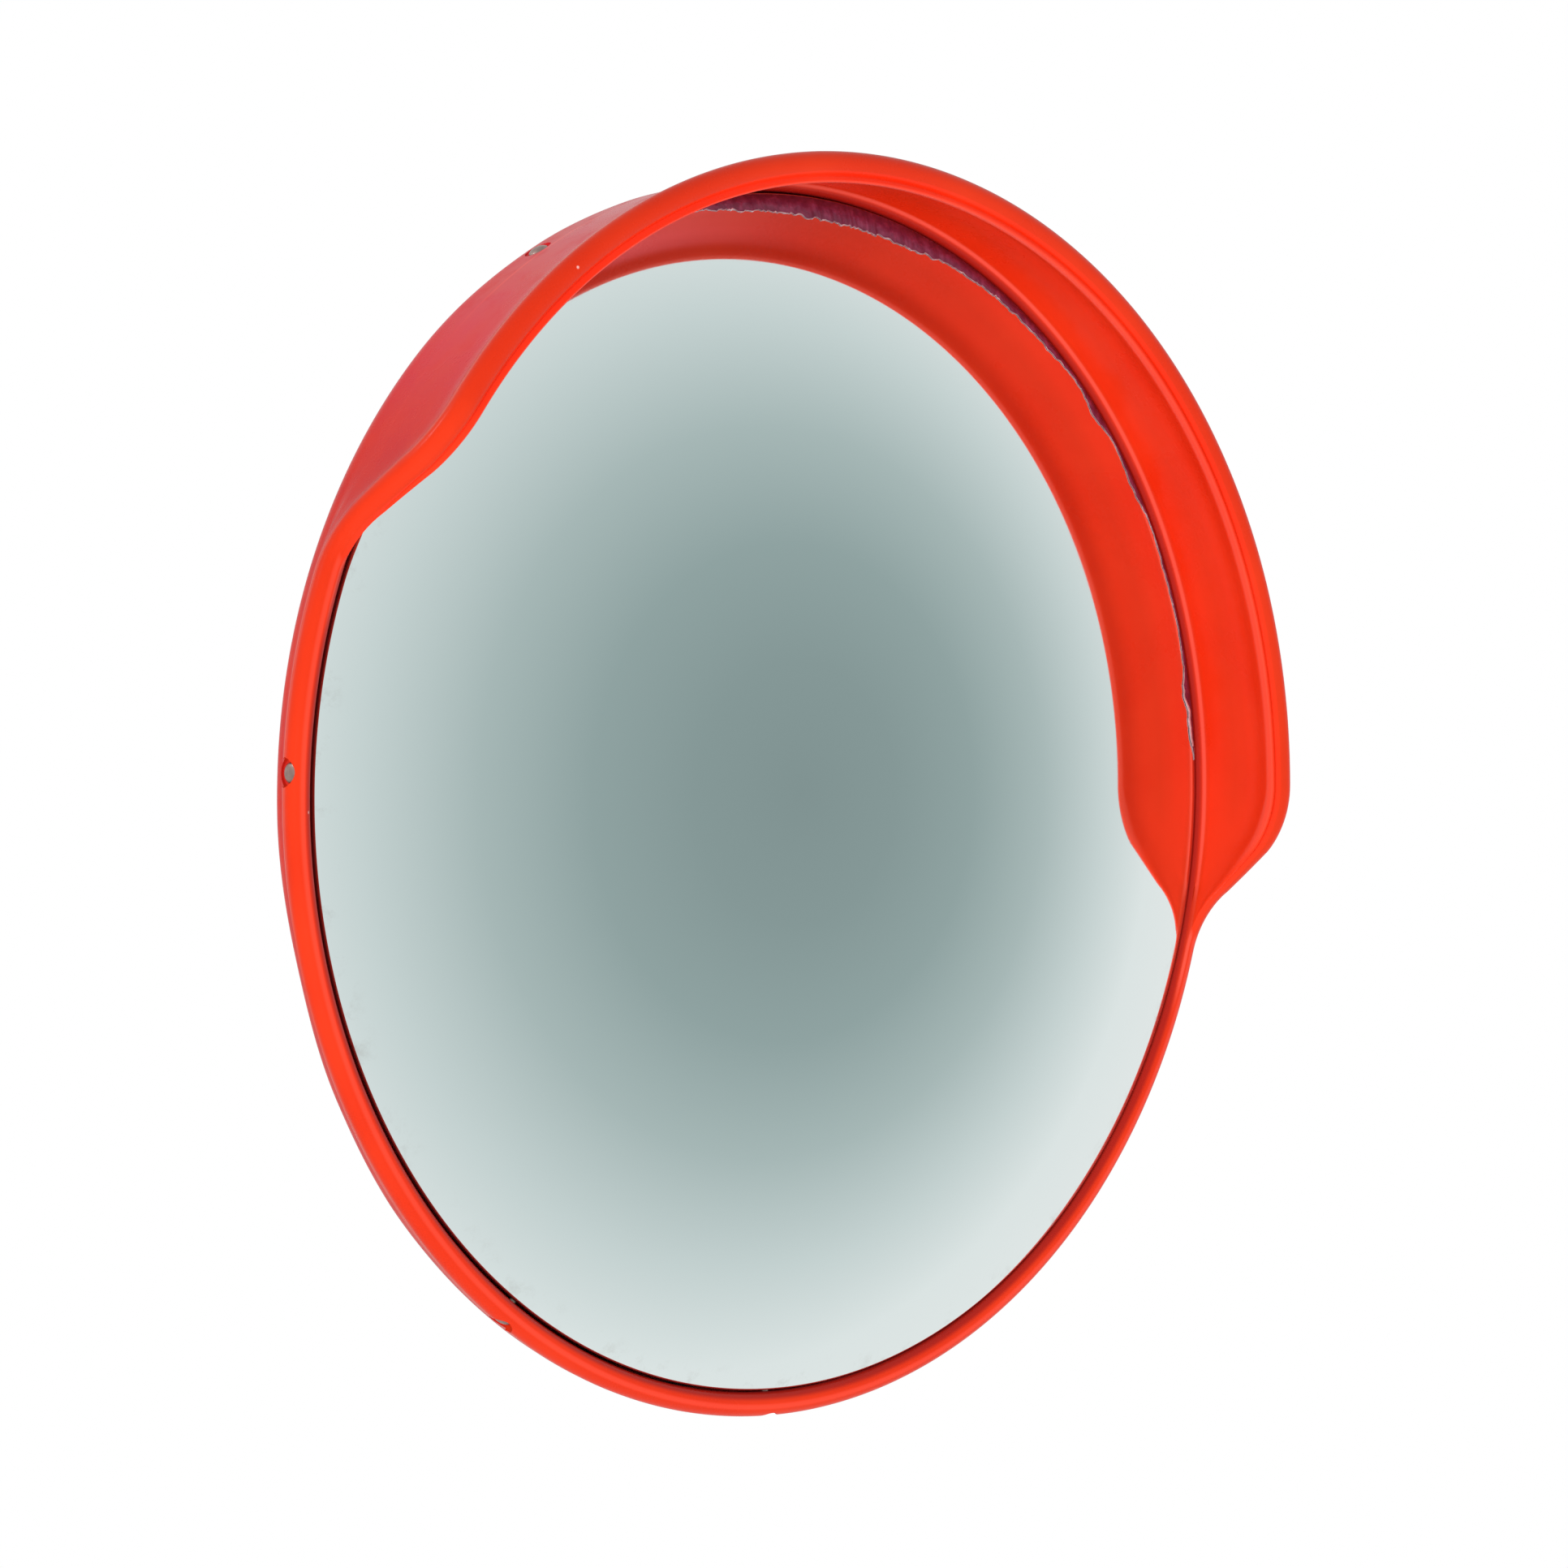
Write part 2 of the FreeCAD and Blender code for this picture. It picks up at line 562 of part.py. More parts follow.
def clamp_places():
    return [("%s * clamp_bolt_out" % across, "%s * clamp_bolt_up" % up)
            for across in ("1", "-1") for up in ("1", "-1")]


def clamp_holes(name):
    return [rod("%s_hole_%d" % (name, i), "small_radius + small_slack", "flange_plate * 8", along="y",
                at=(across, "-flange_plate * 4", up))
            for i, (across, up) in enumerate(clamp_places())]


def clamp():
    front = clamp_half("saddle", -1)
    for name, foot in (("upper", lug_face), ("lower", "-" + lug_back)):
        front.append(block("lug_" + name, ("lug_radius * 2", "pan_reach - %s - 0.2" % liner_radius, "lug_plate"),
                           ("-lug_radius", "-pan_reach", foot)))
        front.append(rod("lug_end_" + name, "lug_radius", "lug_plate", at=("0", "-pan_reach", foot)))
    pan_hole = rod("lug_bore", "large_radius + pin_clearance", "clamp_tall", at=("0", "-pan_reach", "-clamp_tall / 2"))
    saddle = cut("saddle_drilled", fuse("saddle_form", *front), pan_hole, *clamp_holes("saddle"))
    as_node(saddle, "clamp_saddle")
    strap = cut("strap_drilled", fuse("strap_form", *clamp_half("strap", 1)), *clamp_holes("strap"))
    as_node(strap, "clamp_strap")
    for name, side in (("front", -1), ("rear", 1)):
        liner = half_shell("liner_" + name, side, "pole_radius", liner_radius, "clamp_tall", "liner_edge")
        as_node(liner, name + "_liner")


def clamp_hardware():
    bolts, washers, springs, nuts = [], [], [], []
    face = "(flange_gap + flange_plate)"
    under = "(%s + small_washer_thick)" % face
    for i, (across, up) in enumerate(clamp_places()):
        bolts.append(hex_bolt("clamp_bolt_%d" % i, "small", "2 * %s + small_spring + small_nut + thread_end" % under,
                              along="y", at=(across, "-" + under, up)))
        for side, way in (("", "y"), ("-", "-y")):
            washers.append(ring("clamp_washer_%d%s" % (i, way[0]), "small_washer", "small_radius",
                                "small_washer_thick", along=way, at=(across, side + face, up)))
        springs.append(split_ring("clamp_spring_%d" % i, "small_washer - 1.2", "small_radius", "small_spring",
                                  along="y", at=(across, under, up)))
        nuts.append(hex_nut("clamp_nut_%d" % i, "small", along="y", at=(across, under + " + small_spring", up)))
    as_node(group("clamp_bolt_set", bolts), "clamp_bolts")
    as_node(group("clamp_washer_set", washers), "clamp_washers")
    as_node(group("clamp_spring_set", springs), "clamp_spring_washers")
    as_node(group("clamp_nut_set", nuts), "clamp_nuts")


def pan_pivot_hardware():
    friction = [
        ring("pan_friction_upper", "friction_radius", "large_radius + pin_clearance", "friction_thick",
             at=("0", "-pan_reach", "pan_boss_tall / 2")),
        ring("pan_friction_lower", "friction_radius", "large_radius + pin_clearance", "friction_thick",
             along="-z", at=("0", "-pan_reach", "-pan_boss_tall / 2")),
    ]
    as_node(group("pan_friction", friction), "pan_friction_washers")
    washers = [
        ring("pan_washer_upper", "large_washer", "large_radius", "large_washer_thick",
             at=("0", "-pan_reach", lug_back)),
        ring("pan_washer_lower", "large_washer", "large_radius", "large_washer_thick", along="-z",
             at=("0", "-pan_reach", "-" + lug_back)),
    ]
    as_node(group("pan_washer_set", washers), "pan_washers")
    past = "(%s + large_washer_thick)" % lug_back
    spring = split_ring("pan_spring", "large_washer - 1.5", "large_radius", "large_spring", along="-z",
                        at=("0", "-pan_reach", "-" + past))
    as_node(group("pan_spring_set", [spring]), "pan_spring_washer")
    nut = hex_nut("pan_nut_form", "large", along="-z", at=("0", "-pan_reach", "-%s - large_spring" % past))
    as_node(group("pan_nut_set", [nut]), "pan_nut")
    bolt = hex_bolt("pan_bolt_form", "large", "2 * %s + large_spring + large_nut + thread_end" % past,
                    along="-z", at=("0", "-pan_reach", past))
    as_node(group("pan_bolt_set", [bolt]), "pan_bolt")


shell()
lens()
rim_screws()
backing()
bracket()
mount_bolts()
knuckle()
tilt_pivot_hardware()
clamp()
clamp_hardware()
pan_pivot_hardware()
doc.recompute()

for thing in doc.Objects:
    if "Invalid" in thing.State or "Error" in thing.State:
        raise RuntimeError("%s did not build: %s" % (thing.Name, thing.State))
for node in nodes:
    if node.Shape.isNull() or not node.Shape.isValid():
        raise RuntimeError("%s has no valid shape" % node.Label)

os.makedirs("parts", exist_ok=True)
for node in nodes:
    node.Shape.exportStep("parts/%s.step" % node.Label)
    size = node.Shape.BoundBox
    print("%-24s %2d solids %10.1f mm3  %6.1f x %6.1f x %6.1f" % (
        node.Label, len(node.Shape.Solids), node.Shape.Volume, size.XLength, size.YLength, size.ZLength))
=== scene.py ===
import bpy
import bmesh
import json
import math
from mathutils import Matrix, Vector, noise


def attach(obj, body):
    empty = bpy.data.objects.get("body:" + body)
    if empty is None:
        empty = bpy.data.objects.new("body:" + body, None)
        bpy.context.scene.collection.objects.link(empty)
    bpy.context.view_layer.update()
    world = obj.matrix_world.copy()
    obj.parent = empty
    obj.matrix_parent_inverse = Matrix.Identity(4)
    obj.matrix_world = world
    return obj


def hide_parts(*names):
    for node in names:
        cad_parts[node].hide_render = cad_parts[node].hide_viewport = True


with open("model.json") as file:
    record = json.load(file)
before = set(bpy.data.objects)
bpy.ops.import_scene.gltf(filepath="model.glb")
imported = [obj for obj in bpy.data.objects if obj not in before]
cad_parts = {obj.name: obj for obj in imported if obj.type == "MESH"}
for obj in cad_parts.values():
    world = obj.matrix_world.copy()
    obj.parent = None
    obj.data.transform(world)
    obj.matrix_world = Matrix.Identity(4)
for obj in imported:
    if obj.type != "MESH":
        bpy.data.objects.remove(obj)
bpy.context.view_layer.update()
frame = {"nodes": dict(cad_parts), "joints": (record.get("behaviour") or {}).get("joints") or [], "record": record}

mm = 0.001
nodes = frame["nodes"]
joints = {joint["name"]: joint for joint in frame["joints"]}

# The head's own frame: the lens edge lies in its XY plane, Z looks out of the mirror, Y points to the crown.
head = {"restTilt": 18.9, "lensReach": 92 * mm, "lensRadius": 300, "lensRise": 60}
pivot = Vector(joints["tilt"]["pos_m"])
headTurn = Matrix.Rotation(math.radians(90 + head["restTilt"]), 4, "X")
headMatrix = Matrix.Translation(pivot) @ headTurn @ Matrix.Translation((0, 0, head["lensReach"]))
domeRadius = (head["lensRadius"] ** 2 + head["lensRise"] ** 2) / (2 * head["lensRise"])


def domeHeight(radius):
    return head["lensRise"] - domeRadius + math.sqrt(domeRadius ** 2 - radius ** 2)


def smoothStep(value, low, high):
    share = min(1.0, max(0.0, (value - low) / (high - low)))
    return share * share * (3 - 2 * share)


class Wire:
    # wraps a socket, so that maths on it adds Math nodes

    def __init__(self, graph, socket):
        self.graph = graph
        self.socket = socket

    def maths(self, operation, other):
        return self.graph.node("Math", {"operation": operation}, sockets={0: self, 1: other})

    def __add__(self, other):
        return self.maths("ADD", other)

    def __mul__(self, other):
        return self.maths("MULTIPLY", other)

    def __sub__(self, other):
        return self.maths("SUBTRACT", other)

    def __truediv__(self, other):
        return self.maths("DIVIDE", other)

    def __pow__(self, other):
        return self.maths("POWER", other)

    def __rsub__(self, other):
        return (self * -1) + other

    __radd__ = __add__
    __rmul__ = __mul__

    def between(self, low, high):
        # 0 below low, 1 above high, smooth in between
        return self.graph.node("MapRange", {"interpolation_type": "SMOOTHSTEP"}, "Result",
                               Value=self, From_Min=low, From_Max=high)


class Graph:
    # a node tree; every node added to it comes from the node method

    def __init__(self, tree):
        self.tree = tree

    def feed(self, slot, value):
        if isinstance(value, Wire):
            self.tree.links.new(value.socket, slot)
        elif isinstance(value, (tuple, list)) and len(value) == 3 and len(slot.default_value) == 4:
            slot.default_value = (*value, 1.0)
        else:
            slot.default_value = value

    def node(self, kind, settings=None, output=0, sockets=None, **named):
        # sockets go by number, or by name with _ for each space
        made = self.tree.nodes.new("ShaderNode" + kind)
        for word, value in (settings or {}).items():
            if word == "stops":
                ramp = made.color_ramp
                while len(ramp.elements) < len(value):
                    ramp.elements.new(0.5)
                for element, (place, colour) in zip(ramp.elements, value):
                    element.position = place
                    element.color = (*colour, 1.0)
            else:
                setattr(made, word, value)
        for number, value in (sockets or {}).items():
            self.feed(made.inputs[number], value)
        for word, value in named.items():
            self.feed(made.inputs[word.replace("_", " ")], value)
        return Wire(self, made.outputs[output])


class Finish(Graph):
    # one material: a Principled shader and the nodes that feed it

    def __init__(self, name, **settings):
        self.material = bpy.data.materials.new(name)
        self.material.use_nodes = True
        super().__init__(self.material.node_tree)
        self.shader = self.tree.nodes["Principled BSDF"]
        self.set(**settings)

    def set(self, **inputs):
        for word, value in inputs.items():
            self.feed(self.shader.inputs[word.replace("_", " ")], value)
        return self.material

    def place(self):
        return self.node("TexCoord", output="Object")

    def headPlace(self):
        # the same place, in the head's own frame
        return self.node("Mapping", {"vector_type": "TEXTURE"}, Vector=self.place(),
                         Location=tuple(headMatrix.translation), Rotation=tuple(headMatrix.to_euler()))

    def axis(self, vector, name):
        return self.node("SeparateXYZ", output=name, Vector=vector)

    def noise(self, scale, detail=3.0, roughness=0.5):
        return self.node("TexNoise", Vector=self.place(), Scale=scale, Detail=detail, Roughness=roughness)

    def mix(self, share, first, second):
        return self.node("Mix", {"data_type": "RGBA"}, 2, {0: share, 6: first, 7: second})

    def bump(self, height, strength, distance):
        return self.node("Bump", Height=height, Strength=strength, Distance=distance)


def meshObject(name, points, faces, material, matrix=headMatrix):
    # points are millimetres in the frame that matrix stands for
    mesh = bpy.data.meshes.new(name)
    mesh.from_pydata([matrix @ (Vector(point) * mm) for point in points], [], faces)
    mesh.validate()
    made = bpy.data.objects.new(name, mesh)
    bpy.context.scene.collection.objects.link(made)
    made.data.materials.append(material)
    mesh.polygons.foreach_set("use_smooth", [True] * len(mesh.polygons))
    return made


def gridFaces(rows, columns, around=False, start=0):
    # quads between rows of points; around joins the last column to the first
    faces = []
    for row in range(rows - 1):
        for column in range(columns if around else columns - 1):
            after = (column + 1) % columns
            low, high = start + row * columns, start + (row + 1) * columns
            faces.append((low + column, low + after, high + after, high + column))
    return faces


def turned(section, count, start=0):
    # a closed form from a section (radius, depth) that may change round the axis; both ends lie on the axis
    rows = [section(2 * math.pi * i / count) for i in range(count)]
    length = len(rows[0])
    points = [(0, 0, rows[0][0][1]), (0, 0, rows[0][-1][1])]
    for k in range(1, length - 1):
        for i in range(count):
            angle = 2 * math.pi * i / count
            radius, depth = rows[i][k]
            points.append((radius * math.cos(angle), radius * math.sin(angle), depth))
    faces = gridFaces(length - 2, count, around=True, start=2)
    last = 2 + (length - 3) * count
    for i in range(count):
        after = (i + 1) % count
        faces.append((0, 2 + after, 2 + i))
        faces.append((1, last + i, last + after))
    return points, faces


def applied(made):
    # bakes the modifiers of an object into its mesh
    graph = bpy.context.evaluated_depsgraph_get()
    mesh = bpy.data.meshes.new_from_object(made.evaluated_get(graph))
    made.modifiers.clear()
    made.data = mesh
    return made


def carve(made, cutter):
    tool = made.modifiers.new("carve", "BOOLEAN")
    tool.operation = "DIFFERENCE"
    tool.solver = "EXACT"
    tool.object = cutter
    applied(made)
    bpy.data.objects.remove(cutter)
    return made


def softShade(made, degrees=35):
    made.data.polygons.foreach_set("use_smooth", [True] * len(made.data.polygons))
    made.data.set_sharp_from_angle(angle=math.radians(degrees))
    return made


def joinMeshes(name, pieces, material):
    # pieces are (points, faces) pairs
    points, faces = [], []
    for somePoints, someFaces in pieces:
        base = len(points)
        points += somePoints
        faces += [tuple(base + index for index in face) for face in someFaces]
    return meshObject(name, points, faces, material)


def lathe(profile, count, place):
    # a small turned piece: profile (radius, along), carried to its place by a matrix in millimetres
    points, faces = turned(lambda angle: profile, count)
    return [place @ Vector(point) for point in points], faces


def drill(radius, low, high):
    return [(0, low), (radius, low), (radius, high), (0, high)]


def finished(made, node, body):
    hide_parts(node)
    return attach(made, body)


# the moulded shell with its hood; radii from the mirror's axis, depths along it
shell = {
    "seatRadius": 300.9, "beadRadius": 6.2, "rimDepth": -4.0, "hoodDepth": 50.0, "hoodFlare": 4.3,
    "lipStart": 9.5, "lipEnd": 98.0, "lipRound": 45.0, "lipSlope": 48.0, "lipRadius": 309,
    "wallRadius": 311.5, "around": 720,
    "ribs": 12, "ribHalf": 5.0, "ribHigh": 2.6, "ribInner": 138.0, "ribOuter": 284.0,
    "hoopRadius": 212, "hoopHigh": 1.6,
    "backDepth": -52.0, "hubRadius": 125.0, "shoulder": (303.0, -25.5),
    "draft": ((-91, 0.5), (-60, 1.5), (-46, 3.0), (-34, 4.6), (-20, 2.8), (0, 2.5), (26, 2.6), (42, 4.3),
              (54, 5.0), (66, 6.2), (91, 2.2)),
    "draftFade": (250, 290), "draftDepth": 13.0,
    "boltHoles": ((42, 38), (42, -38), (-42, 38), (-42, -38)), "boltHoleRadius": 4.4,
    "drains": (-104, -76), "drainOut": 270, "drainRadius": 4,
    "screwRecess": [(0, 0), (6.2, 0), (6.8, 0.3), (7.0, 0.9), (7.4, 14.0), (0, 14.0)], "screwHoleRadius": 2.5,
}
rimCentre = shell["seatRadius"] + shell["beadRadius"]
screwAngles = [angle for pair in (41, -16, -73) for angle in (pair, 180 - pair)]
screwDepth = -7.0


def lipDepth(height):
    # side view of the sweep: bend, straight, bend; gives depth and slope
    slope, bend = math.radians(shell["lipSlope"]), shell["lipRound"]
    rise = shell["hoodDepth"] - shell["rimDepth"]
    straight = (rise - 2 * bend * (1 - math.cos(slope))) / math.sin(slope)
    first = shell["lipStart"] + bend * math.sin(slope)
    second = first + straight * math.cos(slope)
    last = second + bend * math.sin(slope)
    if height <= shell["lipStart"]:
        return shell["rimDepth"], 0.0
    if height < first:
        angle = math.asin((height - shell["lipStart"]) / bend)
        return shell["rimDepth"] + bend * (1 - math.cos(angle)), math.tan(angle)
    if height < second:
        return (shell["rimDepth"] + bend * (1 - math.cos(slope)) + (height - first) * math.tan(slope),
                math.tan(slope))
    if height < last:
        angle = math.asin((last - height) / bend)
        return shell["hoodDepth"] - bend * (1 - math.cos(angle)), math.tan(angle)
    return shell["hoodDepth"], 0.0


def arc(centre, radius, start, end, count):
    return [(centre[0] + radius * math.cos(math.radians(start + (end - start) * i / (count - 1))),
             centre[1] + radius * math.sin(math.radians(start + (end - start) * i / (count - 1))))
            for i in range(count)]


beadInside = arc((rimCentre, shell["rimDepth"]), shell["beadRadius"], 222, 128, 14)
hoodWall = [
    (303.8, 1.2), (304.6, 1.6), (305.3, 2.1), (305.9, 3.0), (306.3, 4.6), (306.6, 7.5), (306.9, 11.0),
    (307.2, 15.0), (307.4, 22.0), (307.2, 30.0), (306.7, 36.0), (305.9, 40.5), (304.6, 44.2), (303.3, 46.8),
    (302.3, 49.4), (301.9, 51.6), (302.2, 53.3), (303.1, 54.1), (304.2, 53.9), (305.0, 53.3),
]
hoodBead = arc((rimCentre + shell["hoodFlare"], shell["hoodDepth"]), shell["beadRadius"], 152, -28, 18)
hoodOutside = [(316.4, 45.2), (315.0, 43.0), (314.0, 40.0), (313.5, 35.0), (313.0, 26.0), (312.5, 16.0),
               (312.0, 6.0), (311.7, -2.0), (311.5, -9.6)]
rimWall = arc((rimCentre, shell["rimDepth"]), shell["beadRadius"], 127, 112, len(hoodWall))
rimBead = arc((rimCentre, shell["rimDepth"]), shell["beadRadius"], 110, -28, 18)
rimOutside = [(312.5, -7.4 - 0.27 * i) for i in range(8)] + [(311.5, -9.6)]
innerBack = [(0, -48), (40, -48), (90, -48), (121, -48), (180, -38.8), (240, -29.6), (296, -21), (285.8, -19),
             (285.8, -17), (285.8, -15), (293, -15), (301.7, -15), (301.7, -11)]


def outerBack(angle):
    # from the side wall round the shoulder, over the ribbed cone, to the flat hub
    points = [(311.5, -12.0), (311.4, -14.5), (310.8, -17.0), (309.6, -19.4), (307.8, -21.6), (305.6, -23.6)]
    outer, inner = shell["shoulder"], (shell["hubRadius"], shell["backDepth"])
    turn = 2 * math.pi / shell["ribs"]
    away = abs((angle + turn / 2) % turn - turn / 2)
    for i in range(25):
        share = i / 24
        radius = outer[0] + (inner[0] - outer[0]) * share
        depth = outer[1] + (inner[1] - outer[1]) * share
        across = away * radius / shell["ribHalf"]
        ends = smoothStep(radius, shell["ribInner"], shell["ribInner"] + 12)
        ends *= 1 - smoothStep(radius, shell["ribOuter"] - 14, shell["ribOuter"])
        rib = shell["ribHigh"] * (1 - smoothStep(across, 0.55, 1.25)) * ends
        hoop = shell["hoopHigh"] * (1 - smoothStep(abs(radius - shell["hoopRadius"]), 3, 8))
        points.append((radius, depth - max(rib, hoop)))
    return points + [(120, -52), (112, -52), (80, -52), (40, -52), (0, -52)]


def wallDraft(angle):
    # how far the side wall draws in towards the back; the same on both sides
    rise = math.degrees(math.asin(math.sin(angle)))
    for (low, atLow), (high, atHigh) in zip(shell["draft"], shell["draft"][1:]):
        if low <= rise <= high:
            return atLow + (atHigh - atLow) * smoothStep(rise, low, high)
    return 0.0


def shellSection(angle):
    depth, slope = lipDepth(shell["lipRadius"] * math.sin(angle))
    share = (depth - shell["rimDepth"]) / (shell["hoodDepth"] - shell["rimDepth"])
    stretch = math.sqrt(1 + (slope * math.cos(angle)) ** 2)
    pairs = zip(rimWall + rimBead + rimOutside, hoodWall + hoodBead + hoodOutside)
    front = list(beadInside)
    for (rimRadius, rimWay), (hoodRadius, hoodWay) in pairs:
        radius = rimRadius + (hoodRadius - rimRadius) * share
        way = rimWay + (hoodWay - rimWay) * share
        near = smoothStep(way - depth, -14, -2)
        way = depth + (way - depth) * (1 + (stretch - 1) * near)
        front.append((radius, way))
    draft = wallDraft(angle)
    wall = len(front) - len(rimOutside)
    outside = front[wall:] + outerBack(angle)
    high = outside[0][1]
    drawn = []
    for radius, way in outside:
        share = smoothStep(radius, *shell["draftFade"])
        share *= min(1.0, (high - way) / (high + shell["draftDepth"]))
        drawn.append((radius - draft * share, way))
    return innerBack + front[:wall] + drawn


plastic = {
    "open": ((0.66, 0.026, 0.004), (0.72, 0.035, 0.006)),
    "litHoodInside": ((0.85, 0.026, 0.004), (0.91, 0.038, 0.008)),
    "bloomAndSheen": (1.0, 0.095, 0.10),
    "sideShadeAndSheen": ((0.50, 0.006, 0.010), (0.66, 0.012, 0.042)),
    "edge": (1.0, 0.13, 0.09),
    "crest": (1.0, 0.085, 0.05),
    "shade": (0.33, 0.008, 0.006),
    "gapShade": (0.22, 0.020, 0.030),
    "dust": (0.92, 0.72, 0.68),
}


def shellPlastic():
    # places are metres in the head's frame
    look = Finish("shellPlastic", IOR=1.46, Specular_IOR_Level=0.15)
    where = look.headPlace()
    across, up, out = (look.axis(where, name) for name in "XYZ")
    distance = (across * across + up * up) ** 0.5
    underHood = up.between(-0.03, 0.0)
    leftHand = 1 - across.between(-0.26, -0.16)
    inFront = out.between(-0.017, -0.013)
    # where the hood's lip lies at this height
    hoodRise = (shell["hoodDepth"] - shell["rimDepth"]) * mm
    lipLine = up.between(shell["lipStart"] * mm, shell["lipEnd"] * mm) * hoodRise + shell["rimDepth"] * mm

    cloud = look.noise(9.0, 4.0).between(0.35, 0.7)
    colour = look.mix(cloud, *plastic["open"])
    # painted light: the hood's inside is painted brighter than the rest
    litHoodInside = (1 - distance.between(0.3068, 0.3082)) * out.between(0.001, 0.006)
    colour = look.mix(litHoodInside, colour, look.mix(cloud, *plastic["litHoodInside"]))
    # a painted pink sheen deep in the hood's left side
    deep = 1 - (out - lipLine).between(-0.010, -0.004)
    bloomAndSheen = litHoodInside * deep * (1 - across.between(-0.21, -0.03)) * up.between(0.09, 0.15)
    colour = look.mix(bloomAndSheen * 0.9, colour, plastic["bloomAndSheen"])
    # painted shade and sheen on the side wall: darker low down, paler and pinker near the crown
    outside = (distance + (1 - out.between(-0.004, 0.012)) * 0.004).between(0.3083, 0.3093)
    outside = outside * (lipLine - out).between(0.003, 0.009) * out.between(-0.024, -0.020)
    streaks = look.noise(26.0, 5.0, roughness=0.65).between(0.25, 0.75)
    sideShadeAndSheen = look.mix(up.between(0.05, 0.16), *plastic["sideShadeAndSheen"])
    colour = look.mix(outside * (0.40 + 0.45 * streaks), colour, sideShadeAndSheen)
    # painted highlights: pale lines on the small raised roll under the hood, the lip's inner edge and the top of
    # the rim bead
    ridgeHighlight = distance.between(0.3036, 0.3048) * (1 - distance.between(0.3054, 0.3066)) * underHood
    ridgeHighlight = ridgeHighlight * out.between(0.0002, 0.0012) * (1 - out.between(0.0022, 0.0034))
    brinkHighlight = (1 - distance.between(0.3023, 0.3035)) * up.between(0.03, 0.06)
    brinkHighlight = brinkHighlight * (out - lipLine).between(-0.001, 0.001)
    colour = look.mix(ridgeHighlight * 0.5 + brinkHighlight * 0.3, colour, plastic["edge"])
    crest = distance.between(0.3062, 0.3078) * (1 - distance.between(0.3086, 0.3102))
    crest = crest * out.between(0.0, 0.0014) * (1 - out.between(0.0024, 0.0034))
    colour = look.mix(crest * 0.4, colour, plastic["crest"])
    # painted shade: the bead's inner side is darker
    inwards = distance + 0.0009 * underHood - 0.0020 * leftHand
    shaded = (1 - inwards.between(0.3032, 0.3058)) * (1 - out.between(0.0010, 0.0040)) * inFront
    colour = look.mix(shaded * 0.8, colour, plastic["shade"])
    # painted shade: the shell is darker in the gap round the lens
    gapShade = (1 - distance.between(0.3012, 0.3026)) * (1 - out.between(-0.0045, -0.0005)) * inFront
    colour = look.mix(gapShade * 0.7, colour, plastic["gapShade"])

    specks = look.node("TexVoronoi", {"feature": "F1"}, "Distance", Vector=where, Scale=48.0)
    dust = (1 - specks.between(0.018, 0.05)) * look.noise(11.0, 2.0).between(0.56, 0.64)
    colour = look.mix(dust * 0.55, colour, plastic["dust"])
    scuff = look.noise(60.0, 6.0, roughness=0.7).between(0.45, 0.8)
    fine = look.noise(420.0, 3.0)
    return look.set(Base_Color=colour, Roughness=0.26 + 0.12 * scuff + 0.05 * cloud,
                    Normal=look.bump(fine + 0.6 * cloud, 0.045, 0.0006))


def screwSeat(angle):
    # a screw's frame in millimetres: Z points outwards from the side wall, at the bottom of its recess
    turn = Matrix.Rotation(math.radians(angle), 4, "Z")
    lay = Matrix.Rotation(math.radians(90), 4, "Y")
    seat = shell["wallRadius"] - 2.0 - 0.8 * wallDraft(math.radians(angle))
    return turn @ Matrix.Translation((seat, 0, screwDepth)) @ lay


def buildShell():
    points, faces = turned(shellSection, shell["around"])
    made = meshObject("shell_with_hood", points, faces, shellPlastic())
    tools = []
    for angle in screwAngles:
        tools.append(lathe(shell["screwRecess"], 40, screwSeat(angle)))
        tools.append(lathe(drill(shell["screwHoleRadius"], -14, 1), 24, screwSeat(angle)))
    for across, up in shell["boltHoles"]:
        where = Matrix.Translation((across, up, shell["backDepth"] - 2))
        tools.append(lathe(drill(shell["boltHoleRadius"], -4, 8), 24, where))
    for angle in shell["drains"]:
        turn = Matrix.Rotation(math.radians(angle), 4, "Z")
        where = turn @ Matrix.Translation((shell["drainOut"], 0, -40))
        tools.append(lathe(drill(shell["drainRadius"], -14, 40), 32, where))
    carve(made, joinMeshes("carving", tools, made.data.materials[0]))
    softShade(made, 32)
    finished(made, "hooded_shell", "mirror_head")
    print("shell", len(made.data.vertices), "points")


# the convex mirror: a dome with a rounded edge and a skirt turned back
lens = {
    "edgeRound": 2.2, "skin": 2.5, "skirt": 12.0, "around": 512, "rings": 110, "innerRings": 24,
    "shadeCentre": (-41.5, -12.7), "shadeReach": 0.36,
    # painted reflection: the mirror's tone, dark round shadeCentre and pale towards the rim
    "shade": (
        (0.0, (0.270, 0.363, 0.358)), (0.18, (0.292, 0.392, 0.386)), (0.34, (0.343, 0.454, 0.446)),
        (0.50, (0.475, 0.590, 0.582)), (0.66, (0.690, 0.800, 0.792)), (0.80, (0.880, 0.965, 0.955)),
        (1.0, (0.940, 1.0, 0.990))),
}


def lensSection():
    radius, soft = head["lensRadius"], lens["edgeRound"]
    inner = radius - lens["skin"]
    steps = [radius * i / lens["rings"] for i in range(lens["rings"])]
    points = [(step, domeHeight(step)) for step in steps if step < radius - soft * 1.3]
    points += arc((radius - soft, domeHeight(radius - soft) - soft), soft, 66, 0, 8)
    points += [(radius, -4.0), (radius, -lens["skirt"]), (inner, -lens["skirt"]), (inner, -2.0)]
    steps = [inner * (1 - i / lens["innerRings"]) for i in range(lens["innerRings"] + 1)]
    return points + [(step, domeHeight(step) - lens["skin"] * 1.06) for step in steps]


